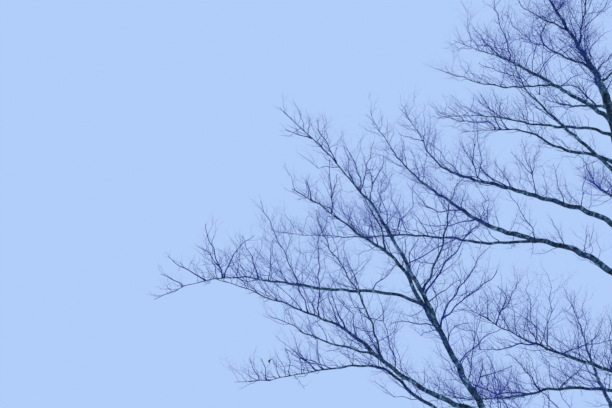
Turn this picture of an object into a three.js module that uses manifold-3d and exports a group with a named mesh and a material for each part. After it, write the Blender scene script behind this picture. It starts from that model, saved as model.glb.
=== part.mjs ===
// A bare winter tree: a broad crown of ascending boughs on a single short trunk.
// Millimetres, +Z up. The trunk's flat cut stands on the ground at the origin, and the
// crown's side seen in the picture reaches towards -X.
import * as THREE from 'three';
import { mergeVertices } from 'three/addons/utils/BufferGeometryUtils.js';
import Module from 'manifold-3d';

const wasm = await Module();
wasm.setup();
const { Manifold, Mesh } = wasm;

// Gap kept between one piece of wood and the next
const JOINT_GAP = 0.3;

// Root flare: how much wider the trunk is at the ground, how fast that dies away going up,
// and the ribs that run down into it
const FLARE_SHARE = 0.5;
const FLARE_HEIGHT = 380;
const RIB_COUNT = 5;
const RIB_SHARE = 0.16;

// Every limb is grown in this many short steps, each turned a little from its heading
const STEPS = 24;
const WOBBLE_DEGREES = 9;

// Radius of the finest wood at a limb's tip, and how a limb thins towards it: under 1 it
// stays thick for longer
const TIP_RADIUS = 4;
const LIMB_TAPER = 0.85;
const TRUNK_TAPER = 1.1;

// Facets round the solids, and the distance between their rings
const TRUNK_SIDES = 16;
const TRUNK_RINGS = 16;
const TRUNK_RING_CROWDING = 1.7;
const BOUGH_SIDES = 7;
const BOUGH_RING_SPACING = 420;
const STEM_SIDES = 5;
const STEM_RING_SPACING = 450;
const TWIG_SIDES = 3;

// Twigs leave the upper side of a level stem and every side of an upright one. They lean out
// by the spread and then turn up. Each is as long as a share of the stem it grows on, less
// towards the tip.
const GOLDEN_SHARE = 0.618;
const MOST_ROLL = THREE.MathUtils.degToRad(112);
const TWIG_SPREAD = THREE.MathUtils.degToRad(46);
const TWIG_LIFT = 0.55;
const TWIGS_PER_METRE = 2.8;
const TWIG_REACH = 0.5;
const LONGEST_TWIG = 1150;
const SIDE_TWIGS = 2;
const SIDE_TWIG_REACH = 0.6;
const TWIG_SLENDERNESS = 120;
const LEAST_TWIG_RADIUS = 2.5;
const MOST_OF_PARENT_RADIUS = 0.45;

// Room that a twig keeps from the next limb's space and from the wood of its own limb, and
// how much it is shortened each time it doesn't fit
const SPACE_MARGIN = 14;
const WOOD_CLEARANCE = 12;
const SHORTER = 0.62;
const FITTING_TRIES = 3;

// Each limb leaves its parent `at` millimetres along it and is `length` long. Its bearings
// (from +X towards +Y) and its rises above level are spread evenly along it, in degrees, and
// a rise over 90 leans back over. `radius` is half its thickness where it starts, and `wood`
// is the share of it that is a bare bough before its twigs begin.
const TRUNK = {
  name: 'trunk', at: 0, length: 13400, bearings: [0, 0], radius: 238, wood: 0.72,
  rises: [91, 89, 90, 91, 89, 90, 89, 110, 106, 90], taper: TRUNK_TAPER,
};

const LIMBS = [
  // The left leader and what forks from it
  { name: 'left_leader', parent: 'trunk', at: 1790, length: 8250, bearings: [200, 200],
    rises: [43, 44, 45, 72, 51, 33], radius: 64, wood: 0.63 },
  { name: 'left_fork', parent: 'left_leader', at: 4800, length: 2600, bearings: [190, 182],
    rises: [55, 70, 33, 42, 28], radius: 28, wood: 0.42, tip: 9 },
  { name: 'left_spreading', parent: 'left_fork', at: 350, length: 3250, bearings: [192, 184],
    rises: [19, -2, 4, 5, -14, -36], radius: 22, wood: 0.4 },
  { name: 'left_lower', parent: 'left_leader', at: 3630, length: 3950, bearings: [182, 176],
    rises: [19, 28, 46, 20, 27, 8], radius: 34, wood: 0.355 },
  { name: 'left_lowest', parent: 'left_leader', at: 3250, length: 3750, bearings: [172, 160],
    rises: [29, 27, 49, -3, -6, 8], radius: 27, wood: 0.42 },

  // The tiers that leave the trunk on the left
  { name: 'left_arching', parent: 'trunk', at: 5880, length: 6300, bearings: [158, 148],
    rises: [70, 49, 22, 50, 50, 62, 75], radius: 52, wood: 0.46 },
  { name: 'left_level', parent: 'left_arching', at: 2050, length: 4300, bearings: [164, 160],
    rises: [0, 19, 8, 11, 19], radius: 23, wood: 0.42 },
  { name: 'left_middle', parent: 'trunk', at: 7000, length: 5000, bearings: [150, 160],
    rises: [64, 36, 31, 28, 74, 58], radius: 46, wood: 0.45 },
  { name: 'left_back_low', parent: 'trunk', at: 4700, length: 3450, bearings: [150, 160],
    rises: [38, 16, -4, 7, 30], radius: 28, wood: 0.45 },
  { name: 'left_inner', parent: 'trunk', at: 4950, length: 2900, bearings: [172, 165],
    rises: [24, 23, 30, 44], radius: 30, wood: 0.45 },
  { name: 'left_upper', parent: 'trunk', at: 8250, length: 2500, bearings: [175, 180],
    rises: [48, 10, 40, -3, -4], radius: 29, wood: 0.45 },
  { name: 'left_climbing', parent: 'trunk', at: 7950, length: 2800, bearings: [205, 200],
    rises: [50, 28, 46, 108], radius: 33, wood: 0.45 },
  { name: 'left_topmost', parent: 'trunk', at: 8820, length: 2850, bearings: [190, 190],
    rises: [26, -8, 8, -2, -14], radius: 25, wood: 0.42 },
  { name: 'front_left_top', parent: 'trunk', at: 9050, length: 3050, bearings: [215, 205],
    rises: [24, 4, 5, 10, -4, 4], radius: 36, wood: 0.42 },

  // The right leader and what forks from it
  { name: 'right_leader', parent: 'trunk', at: 2480, length: 7700, bearings: [18, 4],
    rises: [45, 42, 50, 62, 46, 40], radius: 62, wood: 0.58 },
  { name: 'right_fork', parent: 'right_leader', at: 4150, length: 3500, bearings: [346, 338],
    rises: [44, 56, 30, 38, 22], radius: 30, wood: 0.42 },
  { name: 'right_spreading', parent: 'right_leader', at: 3050, length: 4000, bearings: [32, 22],
    rises: [26, 12, 4, 14, -8], radius: 31, wood: 0.42 },

  // The back leader and what forks from it
  { name: 'back_leader', parent: 'trunk', at: 3250, length: 6900, bearings: [88, 78],
    rises: [44, 42, 46, 60, 48], radius: 56, wood: 0.56 },
  { name: 'back_fork', parent: 'back_leader', at: 3000, length: 3900, bearings: [58, 46],
    rises: [34, 24, 30, 14, 6], radius: 28, wood: 0.42 },
  { name: 'back_spreading', parent: 'back_leader', at: 2550, length: 3900, bearings: [122, 132],
    rises: [26, 22, 12, 20, 4], radius: 27, wood: 0.42 },

  // The front leader and what forks from it
  { name: 'front_leader', parent: 'trunk', at: 3900, length: 6300, bearings: [298, 286],
    rises: [42, 36, 46, 54, 40], radius: 52, wood: 0.54 },
  { name: 'front_fork', parent: 'front_leader', at: 2700, length: 3700, bearings: [328, 336],
    rises: [30, 24, 14, 22, 2], radius: 27, wood: 0.42 },
  { name: 'front_spreading', parent: 'front_leader', at: 2350, length: 3700,
    bearings: [264, 262], rises: [30, 18, 26, 10, 16], radius: 26, wood: 0.42 },

  // The tiers on the right, at the back and at the front
  { name: 'right_middle', parent: 'trunk', at: 5550, length: 5100, bearings: [26, 12],
    rises: [52, 30, 16, 26, 6], radius: 46, wood: 0.46 },
  { name: 'front_right_middle', parent: 'trunk', at: 6650, length: 4500, bearings: [318, 312],
    rises: [54, 36, 22, 34, 16], radius: 41, wood: 0.44 },
  { name: 'back_middle', parent: 'trunk', at: 7450, length: 4200, bearings: [72, 84],
    rises: [52, 36, 30, 44, 40], radius: 37, wood: 0.43 },
  { name: 'right_upper', parent: 'trunk', at: 8600, length: 3700, bearings: [8, -8],
    rises: [50, 34, 42, 58, 50], radius: 33, wood: 0.42 },
  { name: 'front_upper', parent: 'trunk', at: 7550, length: 3500, bearings: [286, 278],
    rises: [50, 32, 40, 30, 42], radius: 29, wood: 0.42 },
  { name: 'back_upper', parent: 'trunk', at: 9350, length: 2700, bearings: [96, 112],
    rises: [42, 34, 46, 60], radius: 25, wood: 0.4 },
];

// Long side shoots that belong to a limb's twigs, each starting on its parent's stem
const SHOOTS = [
  { parent: 'left_leader', at: 5300, length: 1750, bearings: [345, 345],
    rises: [56, 70, 80, 34], radius: 16 },
  { parent: 'left_leader', at: 5250, length: 1350, bearings: [335, 335],
    rises: [52, 48, 44, 40], radius: 12 },
  { parent: 'left_lower', at: 1450, length: 2050, bearings: [210, 200],
    rises: [84, 62, 54, 80], radius: 14 },
  { parent: 'left_lower', at: 1550, length: 1350, bearings: [196, 190],
    rises: [8, 11, 26, 20], radius: 15 },
  { parent: 'left_lower', at: 2500, length: 1600, bearings: [200, 200],
    rises: [72, 62, 65], radius: 8 },
  { parent: 'left_spreading', at: 2400, length: 650, bearings: [350, 340],
    rises: [84, 56, 26], radius: 8 },
  { parent: 'left_arching', at: 3100, length: 900, bearings: [165, 165],
    rises: [-5, -5, 32], radius: 11 },
  { parent: 'left_inner', at: 1700, length: 850, bearings: [192, 186],
    rises: [-2, -20, 8], radius: 12 },
  { parent: 'left_back_low', at: 1800, length: 1050, bearings: [172, 170],
    rises: [6, 0, 28, 64], radius: 11 },
  { parent: 'left_upper', at: 1800, length: 650, bearings: [195, 195],
    rises: [66, 48, 15], radius: 9 },
  { parent: 'front_left_top', at: 1300, length: 1700, bearings: [180, 180],
    rises: [-8, 1, 20, 24], radius: 14 },
  { parent: 'front_left_top', at: 2100, length: 1200, bearings: [200, 200],
    rises: [100, 77, 78, 104], radius: 10 },
  { parent: 'trunk', at: 10150, length: 1700, bearings: [150, 170],
    rises: [48, 40, 50, 118, 114], radius: 20 },
  { parent: 'trunk', at: 10950, length: 1150, bearings: [200, 200],
    rises: [16, 12, 26, 98], radius: 15 },
  { parent: 'trunk', at: 9850, length: 2500, bearings: [20, 12],
    rises: [40, 44, 60, 66], radius: 21 },
  { parent: 'trunk', at: 10600, length: 2000, bearings: [276, 270],
    rises: [36, 40, 56, 60], radius: 17 },
  { parent: 'trunk', at: 11400, length: 1500, bearings: [60, 50],
    rises: [40, 48, 60], radius: 13 },
];

// A number from 0 to 1 that depends only on its seed and its place in the seed's list
function chance(seed, place) {
  let mixed = Math.imul(seed, 0x9e3779b1) ^ Math.imul(place + 1, 0x85ebca6b);
  mixed = Math.imul(mixed ^ (mixed >>> 15), 0x2c1b3c6d);
  mixed = Math.imul(mixed ^ (mixed >>> 12), 0x297a2d39);
  return ((mixed ^ (mixed >>> 15)) >>> 0) / 4294967296;
}

// The value at a share of the way along a list of evenly spread values
function along(values, share) {
  const place = share * (values.length - 1);
  const index = Math.min(Math.floor(place), values.length - 2);
  return THREE.MathUtils.lerp(values[index], values[index + 1], place - index);
}

function headingOf(bearing, rise) {
  const level = THREE.MathUtils.degToRad(bearing);
  const up = THREE.MathUtils.degToRad(rise);
  return new THREE.Vector3(
    Math.cos(up) * Math.cos(level), Math.cos(up) * Math.sin(level), Math.sin(up));
}

// A limb's centre line, grown step by step from a point on its parent
class Course {
  constructor(limb, start, seed) {
    this.length = limb.length;
    this.radius = limb.radius;
    this.tip = limb.tip ?? TIP_RADIUS;
    this.taper = limb.taper ?? LIMB_TAPER;
    this.seed = seed;
    const turn = (place) => WOBBLE_DEGREES * (chance(seed, place) - 0.5);
    const steady = limb.parent ? 1 : 0.25;
    this.points = [start.clone()];
    for (let step = 0; step < STEPS; step++) {
      const share = (step + 0.5) / STEPS;
      const rise = along(limb.rises, share) + steady * turn(2 * step);
      const bearing = along(limb.bearings, share) + steady * turn(2 * step + 1);
      const stride = headingOf(bearing, rise).multiplyScalar(limb.length / STEPS);
      this.points.push(this.points[step].clone().add(stride));
    }
    this.curve = new THREE.CatmullRomCurve3(this.points);
    this.side = headingOf(limb.bearings[0] + 90, 0);
  }

  pointAt(share) {
    return this.curve.getPoint(share);
  }

  tangentAt(share) {
    return this.curve.getTangent(share);
  }

  radiusAt(share) {
    return this.tip + (this.radius - this.tip) * (1 - share) ** this.taper;
  }
}

// A twig's centre line: out along one heading and then on along another
class TwigLine {
  constructor(root, out, on, length, radius, seed) {
    const bend = root.clone().addScaledVector(out, length / 2);
    const tip = bend.clone().addScaledVector(on, length / 2);
    this.curve = new THREE.QuadraticBezierCurve3(root, bend, tip);
    this.length = length;
    this.radius = radius;
    this.seed = seed;
    this.side = new THREE.Vector3().crossVectors(out, on).normalize();
  }

  pointAt(share) {
    return this.curve.getPoint(share);
  }

  tangentAt(share) {
    return this.curve.getTangent(share);
  }

  radiusAt(share) {
    return this.radius * (1 - share);
  }
}

// The two directions square to a line at a share of its length
function crossAt(line, share) {
  const tangent = line.tangentAt(share);
  const normal = line.side.clone().addScaledVector(tangent, -line.side.dot(tangent)).normalize();
  return { tangent, normal, binormal: new THREE.Vector3().crossVectors(tangent, normal) };
}

// Evenly spread shares of a line's length, from one share to another
function sharesFrom(from, to, rings) {
  return Array.from({ length: rings + 1 }, (_, i) => THREE.MathUtils.lerp(from, to, i / rings));
}

// Bends an upright cylinder or cone so that its rings stand at the given shares of a line
function bend(cylinder, line, shares, radiusAt) {
  const position = cylinder.getAttribute('position');
  const rings = shares.map((share) => (
    { share, centre: line.pointAt(share), ...crossAt(line, share) }));
  const place = new THREE.Vector3();
  for (let i = 0; i < position.count; i++) {
    const ring = rings[Math.round((position.getY(i) + 0.5) * (shares.length - 1))];
    const across = position.getX(i);
    const outward = position.getZ(i);
    const radius = radiusAt(ring.share, Math.atan2(across, outward));
    place.copy(ring.centre);
    place.addScaledVector(ring.binormal, across * radius);
    place.addScaledVector(ring.normal, outward * radius);
    position.setXYZ(i, place.x, place.y, place.z);
  }
  return solidOf(cylinder);
}

function solidOf(geometry) {
  geometry.deleteAttribute('normal');
  geometry.deleteAttribute('uv');
  const merged = mergeVertices(geometry);
  return new Manifold(new Mesh({
    numProp: 3,
    vertProperties: merged.attributes.position.array,
    triVerts: new Uint32Array(merged.index.array),
  }));
}

function geometryOf(solid) {
  const { vertProperties, triVerts } = solid.getMesh();
  const geometry = new THREE.BufferGeometry();
  geometry.setAttribute('position', new THREE.BufferAttribute(vertProperties, 3));
  geometry.setIndex(new THREE.BufferAttribute(triVerts, 1));
  geometry.computeVertexNormals();
  return geometry;
}

function largestBody(solid) {
  return solid.decompose().reduce(
    (largest, body) => (body.volume() > largest.volume() ? body : largest));
}

// The trunk, with its root flare. Its rings crowd towards the ground, where its outline
// changes fastest, and the lowest lies flat.
function trunkSolid(course, wood, growth = 0) {
  const shares = sharesFrom(0, 1, TRUNK_RINGS).map((share) => wood * share ** TRUNK_RING_CROWDING);
  const cylinder = new THREE.CylinderGeometry(1, 1, 1, TRUNK_SIDES, TRUNK_RINGS);
  const standing = Object.create(course);
  standing.tangentAt = (share) => (
    share === 0 ? new THREE.Vector3(0, 0, 1) : course.tangentAt(share));
  return bend(cylinder, standing, shares, (share, turn) => {
    const fade = Math.exp(-share * course.length / FLARE_HEIGHT);
    const ribs = RIB_SHARE * Math.cos(RIB_COUNT * turn + 1);
    return course.radiusAt(share) * (1 + fade * (FLARE_SHARE + ribs)) + growth;
  });
}

function boughSolid(course, wood, growth = 0) {
  const rings = Math.max(2, Math.round(wood * course.length / BOUGH_RING_SPACING));
  const cylinder = new THREE.CylinderGeometry(1, 1, 1, BOUGH_SIDES, rings);
  const shares = sharesFrom(0, wood, rings);
  return bend(cylinder, course, shares, (share) => course.radiusAt(share) + growth);
}

function stemSolid(course, from) {
  const rings = Math.max(2, Math.round((1 - from) * course.length / STEM_RING_SPACING));
  const cylinder = new THREE.CylinderGeometry(1, 1, 1, STEM_SIDES, rings);
  return bend(cylinder, course, sharesFrom(from, 1, rings), (share) => course.radiusAt(share));
}

function twigSolid(line, rings) {
  const cone = new THREE.CylinderGeometry(0, 1, 1, TWIG_SIDES, rings);
  return bend(cone, line, sharesFrom(0, 1, rings), () => line.radius);
}

// Distance from a point to a course's centre line, and how far along it that is
function nearestOn(course, point) {
  const leg = new THREE.Line3();
  const foot = new THREE.Vector3();
  let best = { gap: Infinity, share: 0 };
  for (let i = 0; i < STEPS; i++) {
    leg.set(course.points[i], course.points[i + 1]);
    const part = leg.closestPointToPointParameter(point, true);
    const gap = leg.at(part, foot).distanceTo(point);
    if (gap < best.gap) best = { gap, share: (i + part) / STEPS };
  }
  return best;
}

// Grow every limb's course from its parent's
const courses = new Map();
courses.set('trunk', new Course(TRUNK, new THREE.Vector3(), 1));
LIMBS.forEach((limb, index) => {
  const parent = courses.get(limb.parent);
  courses.set(limb.name, new Course(limb, parent.pointAt(limb.at / parent.length), index + 2));
});
const shoots = SHOOTS.map((shoot, index) => {
  const parent = courses.get(shoot.parent);
  const start = parent.pointAt(shoot.at / parent.length);
  return { owner: shoot.parent, course: new Course(shoot, start, 101 + index) };
});
const woods = new Map([TRUNK, ...LIMBS].map((limb) => [limb.name, limb.wood]));
const claims = [
  ...[...courses].map(([owner, course]) => ({ owner, course })),
  ...shoots,
];

// A twig keeps to its own limb's space: where that limb is the nearest one, clear of its wood
function keepsItsSpace(owner, line) {
  return [0.3, 0.5, 0.75, 1].every((share) => {
    const point = line.pointAt(share);
    let own = Infinity;
    let other = Infinity;
    let clear = true;
    for (const claim of claims) {
      const { gap, share: where } = nearestOn(claim.course, point);
      if (claim.owner === owner) own = Math.min(own, gap);
      else other = Math.min(other, gap);
      const bare = claim.course === courses.get(owner) && where < woods.get(owner);
      if (bare && gap < claim.course.radiusAt(where) + WOOD_CLEARANCE) clear = false;
    }
    return clear && own + SPACE_MARGIN < other;
  });
}

// One twig at a share of its parent's length, turned round it by the golden share
function twigOn(parent, share, index, reach, seed) {
  const { tangent, normal } = crossAt(parent, share);
  const upward = new THREE.Vector3(0, 0, 1).addScaledVector(tangent, -tangent.z);
  const above = upward.length() > 0.05 ? upward.normalize() : normal;
  const beside = new THREE.Vector3().crossVectors(tangent, above);
  const widest = THREE.MathUtils.lerp(MOST_ROLL, Math.PI, tangent.z ** 2);
  const roll = widest * (2 * ((index * GOLDEN_SHARE + 0.25 * chance(seed, 0)) % 1) - 1);
  const spread = TWIG_SPREAD * (0.75 + 0.5 * chance(seed, 1));
  const out = tangent.clone().multiplyScalar(Math.cos(spread))
    .addScaledVector(above, Math.cos(roll) * Math.sin(spread))
    .addScaledVector(beside, Math.sin(roll) * Math.sin(spread));
  const on = out.clone().addScaledVector(tangent, 0.3);
  on.z += TWIG_LIFT;
  on.normalize();
  const favoured = 0.75 + 0.35 * out.z;
  const length = reach * favoured * (0.7 + 0.6 * chance(seed, 2));
  const radius = Math.min(
    length / TWIG_SLENDERNESS + LEAST_TWIG_RADIUS,
    MOST_OF_PARENT_RADIUS * parent.radiusAt(share));
  return new TwigLine(parent.pointAt(share), out, on, length, radius, seed);
}

// The longest of a few tries at a twig that keeps to its limb's space, or nothing
function fittingTwig(owner, parent, share, index, reach, seed) {
  for (let tries = 0; tries < FITTING_TRIES; tries++) {
    const twig = twigOn(parent, share, index, reach * SHORTER ** tries, seed);
    if (keepsItsSpace(owner, twig)) return twig;
  }
  return null;
}

// The twigs along one stem or shoot, and the side twigs on each
function twigsAlong(owner, course, from) {
  const bare = course.length * (1 - from);
  const count = Math.round(TWIGS_PER_METRE * bare / 1000);
  const longest = Math.min(TWIG_REACH * bare, LONGEST_TWIG);
  const solids = [];
  for (let index = 0; index < count; index++) {
    const seed = course.seed * 1000 + index * 20;
    const step = (index + 0.3 + 0.5 * chance(seed, 3)) / count;
    const share = THREE.MathUtils.lerp(from, 0.97, step);
    const reach = longest * (1 - 0.6 * step);
    const twig = fittingTwig(owner, course, share, index, reach, seed);
    if (!twig) continue;
    solids.push(twigSolid(twig, 2));
    for (let side = 0; side < SIDE_TWIGS; side++) {
      const sideSeed = seed + 1 + side;
      const sideShare = 0.28 + (0.4 * (side + chance(sideSeed, 3))) / SIDE_TWIGS;
      const sideReach = SIDE_TWIG_REACH * twig.length * (1 - 0.5 * sideShare);
      const sideTwig = fittingTwig(owner, twig, sideShare, side, sideReach, sideSeed);
      if (sideTwig) solids.push(twigSolid(sideTwig, 1));
    }
  }
  return solids;
}

// A limb's twigs in one piece: its stem, its long shoots and the twigs on them all
function twigMass(owner) {
  const course = courses.get(owner);
  const from = woods.get(owner) + JOINT_GAP / course.length;
  const solids = [stemSolid(course, from), ...twigsAlong(owner, course, from)];
  for (const shoot of shoots.filter((each) => each.owner === owner)) {
    solids.push(stemSolid(shoot.course, 0), ...twigsAlong(owner, shoot.course, 0.12));
  }
  return largestBody(Manifold.union(solids));
}

const bark = new THREE.MeshStandardMaterial({ color: '#6d6a66', roughness: 0.9, metalness: 0 });
const youngBark = new THREE.MeshStandardMaterial({ color: '#4f4247', roughness: 0.75, metalness: 0 });

const tree = new THREE.Group();
tree.name = 'bare_winter_tree';

function addPiece(name, solid, material) {
  const mesh = new THREE.Mesh(geometryOf(solid), material);
  mesh.name = name;
  tree.add(mesh);
}

addPiece('trunk', trunkSolid(courses.get('trunk'), TRUNK.wood), bark);
const grownParents = new Map([
  ['trunk', trunkSolid(courses.get('trunk'), TRUNK.wood, JOINT_GAP)],
]);
for (const limb of LIMBS) {
  const course = courses.get(limb.name);
  grownParents.set(limb.name, boughSolid(course, limb.wood, JOINT_GAP));
  const seated = boughSolid(course, limb.wood).subtract(grownParents.get(limb.parent));
  addPiece(`bough_${limb.name}`, largestBody(seated), bark);
}
for (const owner of courses.keys()) {
  addPiece(`twigs_${owner}`, twigMass(owner), youngBark);
}

export default tree;
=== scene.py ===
# %% [markdown]
# # A bare winter tree, seen from under its crown
# A tall leafless tree is three kinds of thing. It has one trunk with a flared foot, about
# thirty tapering boughs, and beyond the end of each bough a spray of ever finer twigs. The
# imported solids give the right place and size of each. This lesson lays living surfaces over
# them: bark with its relief and lichen on the thick wood, and nearly a hundred thousand
# twigs, where each solid has a few dozen. All lengths are in metres, except in the tables of
# limbs and shoots, which are in millimetres, and where a name says mm.

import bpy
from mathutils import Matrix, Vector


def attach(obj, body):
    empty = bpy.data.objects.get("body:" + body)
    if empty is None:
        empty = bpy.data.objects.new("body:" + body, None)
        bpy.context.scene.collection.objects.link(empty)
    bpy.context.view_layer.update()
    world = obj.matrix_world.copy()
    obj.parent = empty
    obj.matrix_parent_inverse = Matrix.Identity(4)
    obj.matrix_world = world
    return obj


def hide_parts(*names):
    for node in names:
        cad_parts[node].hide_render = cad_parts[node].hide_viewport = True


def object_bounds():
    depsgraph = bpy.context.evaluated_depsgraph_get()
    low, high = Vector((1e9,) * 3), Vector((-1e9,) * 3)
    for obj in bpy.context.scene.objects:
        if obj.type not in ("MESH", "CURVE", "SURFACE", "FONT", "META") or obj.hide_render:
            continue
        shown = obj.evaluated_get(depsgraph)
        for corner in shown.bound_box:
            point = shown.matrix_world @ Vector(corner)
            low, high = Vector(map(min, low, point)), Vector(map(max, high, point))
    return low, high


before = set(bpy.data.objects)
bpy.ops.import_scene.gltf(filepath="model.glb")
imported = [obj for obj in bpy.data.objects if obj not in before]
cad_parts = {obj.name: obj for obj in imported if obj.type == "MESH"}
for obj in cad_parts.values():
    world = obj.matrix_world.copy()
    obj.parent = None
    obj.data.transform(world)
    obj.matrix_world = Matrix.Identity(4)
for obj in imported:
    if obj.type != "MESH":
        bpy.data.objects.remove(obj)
cad_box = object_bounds()
print(f"{len(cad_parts)} solids, box {cad_box}")

# %% [markdown]
# ## The viewpoint
# The photographer stood on the ground to the left of the trunk and looked up at the crown's
# left half, so the limbs are seen from below, against a pale cold sky. A level camera with a
# shifted lens would keep the trunk upright, but a tilted one gives the true lean of every
# limb, so the camera is tilted, with no shift and no depth of field.

# %% Stand the camera where the photographer stood
import math

import bpy
import numpy as np

CAMERA_PLACE = (-4.6, -10.5, 1.6)
CAMERA_TILT_DEGREES = 30
LENS_MM = 50
SENSOR_MM = 36
IMAGE_WIDTH, IMAGE_HEIGHT = 612, 408

lens = bpy.data.cameras.new("photographer")
lens.lens = LENS_MM
lens.sensor_width = SENSOR_MM
lens.sensor_fit = "HORIZONTAL"
camera = bpy.data.objects.new("photographer", lens)
camera.location = CAMERA_PLACE
camera.rotation_euler = (math.radians(90 + CAMERA_TILT_DEGREES), 0, 0)
bpy.context.scene.collection.objects.link(camera)
bpy.context.scene.camera = camera
print("camera at", CAMERA_PLACE, "tilted up", CAMERA_TILT_DEGREES)

# %% [markdown]
# ## Soft cold light
# On a winter day the whole sky is one large pale lamp, so limbs have no hard shadows, and
# their tops are only a little brighter than their undersides. A studio does the same with a
# bright plain surround. The surround here is one flat pale blue, a wide soft sun gives the
# tops their edge, and a plain pale floor sends a little light back up.

# %% Make colours linear and light the scene
def linear(hex_colour):
    """An sRGB colour such as '#8fa3a8' as the linear RGBA that Blender works in."""
    channels = [int(hex_colour[i:i + 2], 16) / 255 for i in (1, 3, 5)]
    return (*(c / 12.92 if c <= 0.04045 else ((c + 0.055) / 1.055) ** 2.4
              for c in channels), 1.0)


SKY_COLOUR = "#b1cdf9"
SUN_COLOUR = "#c3d3ff"
SUN_STRENGTH = 1.2
SUN_SOFTNESS_DEGREES = 40
SUN_BEARING_DEGREES, SUN_HEIGHT_DEGREES = 150, 55

bpy.context.scene.view_settings.view_transform = "Standard"
surround = bpy.data.worlds.new("pale_cold_surround")
surround.use_nodes = True
surround.node_tree.nodes["Background"].inputs["Color"].default_value = linear(SKY_COLOUR)
bpy.context.scene.world = surround

sun = bpy.data.lights.new("soft_sun", "SUN")
sun.energy = SUN_STRENGTH
sun.angle = math.radians(SUN_SOFTNESS_DEGREES)
sun.color = linear(SUN_COLOUR)[:3]
sun_object = bpy.data.objects.new("soft_sun", sun)
sun_object.rotation_euler = (
    0, math.radians(90 - SUN_HEIGHT_DEGREES), math.radians(SUN_BEARING_DEGREES))
bpy.context.scene.collection.objects.link(sun_object)
print("sky", [round(c, 3) for c in linear(SKY_COLOUR)[:3]])

# %% [markdown]
# ## How a limb grows
# A real limb never runs straight: each season's growth turns a little from the last. The
# rule grows it in 24 short steps and turns each by a chance amount. The chance comes from
# the limb's own seed and the step's number alone, with no running state, so the tree comes
# out the same on every run and in the solids too. A random generator with a state would
# give another tree as soon as one limb were added.

# %% Chances and directions
LOW_32 = np.uint64(0xFFFFFFFF)
MIXERS = [np.uint64(m) for m in (0x9E3779B1, 0x85EBCA6B, 0x2C1B3C6D, 0x297A2D39)]


def chance(seed, place):
    """A number from 0 to 1 that depends only on its seed and its place in that seed's list."""
    seed, place = np.broadcast_arrays(seed, place)
    mixed = (seed.astype(np.uint64) & LOW_32) * MIXERS[0] & LOW_32
    mixed ^= (place.astype(np.uint64) + np.uint64(1)) * MIXERS[1] & LOW_32
    mixed = (mixed ^ mixed >> np.uint64(15)) * MIXERS[2] & LOW_32
    mixed = (mixed ^ mixed >> np.uint64(12)) * MIXERS[3] & LOW_32
    return (mixed ^ mixed >> np.uint64(15)).astype(float) / 4294967296


def unit(vectors):
    """Vectors of the same directions, each one long."""
    return vectors / np.maximum(np.linalg.norm(vectors, axis=-1, keepdims=True), 1e-12)


def heading_of(bearing_degrees, rise_degrees):
    """The direction with this bearing, from +X towards +Y, and this rise above level."""
    level, up = np.radians(bearing_degrees), np.radians(rise_degrees)
    return np.stack(
        [np.cos(up) * np.cos(level), np.cos(up) * np.sin(level), np.sin(up)], axis=-1)


def smooth_line(corners, per_step):
    """A Catmull-Rom curve through the corners, as evenly spread points."""
    before, after = 2 * corners[0] - corners[1], 2 * corners[-1] - corners[-2]
    every = np.vstack([before, corners, after])[:, None]
    a, b, c, d = every[:-3], every[1:-2], every[2:-1], every[3:]
    t = (np.arange(per_step) / per_step)[None, :, None]
    curve = 0.5 * (2 * b + (c - a) * t + (2 * a - 5 * b + 4 * c - d) * t ** 2
                   + (3 * b - a - 3 * c + d) * t ** 3)
    return np.vstack([curve.reshape(-1, 3), corners[-1]])


print("the first chances of seed 1:", chance(1, np.arange(3)).round(3))

# %% [markdown]
# A limb is then one smooth centre line with a radius that tapers along it. A long limb's
# steps are 20 to 50 cm long, so the small crooks that old buds leave in it are added to the
# line as two short waves each way. More steps would take other chances, and the limb would
# no longer lie in its solid.

# %% Grow one limb's centre line
STEPS = 24
POINTS_PER_STEP = 8
WOBBLE_DEGREES = 9
FULL_TURN = 6.283
SIDEWAYS_CROOKS = (0.43, 0.19)  # the lengths of the two waves, in metres
UPRIGHT_CROOKS = (0.37, 0.23)
LEAST_CROOK, LEAST_SHOOT_CROOK, LIMB_FROM_RADIUS = 0.003, 0.007, 0.017


def two_waves(distance, lengths, phases):
    return (np.sin(distance / lengths[0] + phases[0])
            + 0.6 * np.sin(distance / lengths[1] + phases[1]))


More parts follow.
